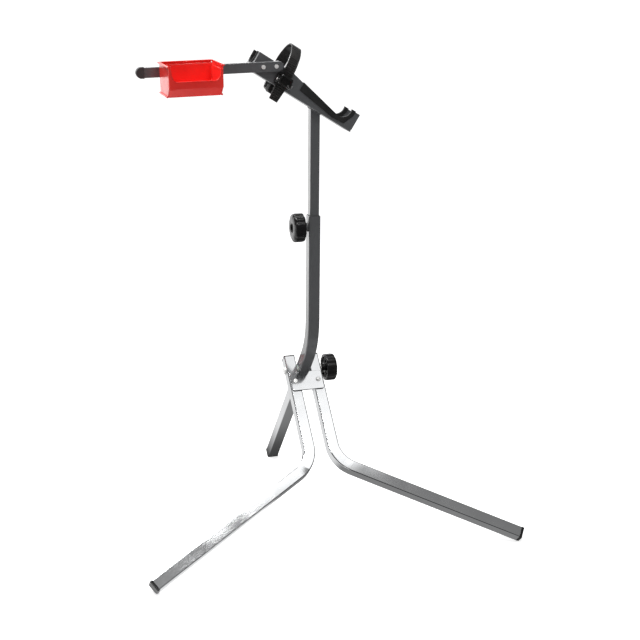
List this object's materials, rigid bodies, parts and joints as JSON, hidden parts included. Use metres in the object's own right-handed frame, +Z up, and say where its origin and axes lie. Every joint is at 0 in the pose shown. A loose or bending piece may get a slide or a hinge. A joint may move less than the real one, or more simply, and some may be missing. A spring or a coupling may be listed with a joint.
{
  "type": "bike repair stand",
  "caption": "Folding tripod repair stand of square tube with a telescoping mast, bottom-bracket hooks, down-tube cradle with ratchet strap, and a hanging tool tray.",
  "frame": {"origin": "on the floor, at the middle of the stand's footprint", "axes": "+Z up; the tray arm points to -X, the bottom-bracket hooks to +X, the two front legs spread towards -Y and the rear leg points to +Y"},
  "size_m": [0.8184, 0.6165, 1.0395],
  "materials": {
    "chrome_tube": "bright chrome plating",
    "grey_paint": "satin dark grey powder coat",
    "black_plastic": "moulded black plastic, fine grain",
    "black_rubber": "satin black rubber",
    "zinc_steel": "zinc-plated steel",
    "red_plastic": "glossy red polypropylene",
    "white_nylon": "natural nylon"
  },
  "bodies": {
    "base": {"front_leg_left": "chrome_tube", "front_leg_right": "chrome_tube", "hub_plate": "chrome_tube", "hub_plate_bolts": "zinc_steel", "hub_plate_nuts": "zinc_steel", "pivot_bolt": "zinc_steel", "hub_spacers": "white_nylon", "knob_washer": "zinc_steel", "leg_top_cap_left": "black_plastic", "leg_top_cap_right": "black_plastic", "foot_cap_left": "black_plastic", "foot_cap_right": "black_plastic"},
    "rear_frame": {"rear_leg": "chrome_tube", "foot_cap_rear": "black_plastic", "outer_column": "grey_paint", "joint_sleeve": "zinc_steel", "guide_bush": "black_plastic", "clamp_boss": "grey_paint"},
    "mast_head": {"mast": "grey_paint", "mast_end_plug": "black_plastic", "head_channel": "grey_paint", "cradle_plate": "grey_paint", "cradle_pad": "black_rubber", "hook_lining_near": "black_rubber", "hook_lining_far": "black_rubber", "strap": "black_rubber", "strap_anchor": "black_plastic", "buckle_base": "black_plastic", "buckle_pin": "zinc_steel", "tray_arm": "grey_paint", "arm_end_cap": "black_plastic", "arm_rivets": "zinc_steel"},
    "upper_knob": {"upper_knob": "black_plastic", "upper_knob_stud": "zinc_steel"},
    "lower_knob": {"lower_knob": "black_plastic"},
    "buckle_lever": {"buckle_lever": "black_plastic"},
    "tray": {"tray": "red_plastic"}
  },
  "joints": [
    {"name": "fold", "type": "hinge", "parent": "base", "child": "rear_frame", "pos_m": [0, 0.03043, 0.32332], "axis": [1, 0, 0], "range_deg": [-82, 0]},
    {"name": "telescope", "type": "slide", "parent": "rear_frame", "child": "mast_head", "axis": [0, 0, 1], "range_m": [-0.095, 0.05]},
    {"name": "upper_knob_turn", "type": "hinge", "parent": "rear_frame", "child": "upper_knob", "pos_m": [-0.03, -0.04391, 0.668], "axis": [-1, 0, 0], "continuous": true},
    {"name": "lower_knob_turn", "type": "hinge", "parent": "base", "child": "lower_knob", "pos_m": [0.06, 0.03043, 0.32332], "axis": [1, 0, 0], "continuous": true},
    {"name": "buckle_lever_lift", "type": "hinge", "parent": "mast_head", "child": "buckle_lever", "pos_m": [-0.07426, -0.08441, 0.97332], "axis": [0.8517, 0, -0.524], "range_deg": [0, 80], "stiffness_Nm_per_rad": 0.05},
    {"name": "tray_lift", "type": "slide", "parent": "mast_head", "child": "tray", "axis": [-0.0262, 0, 0.9997], "range_m": [0, 0.06]}
  ]
}
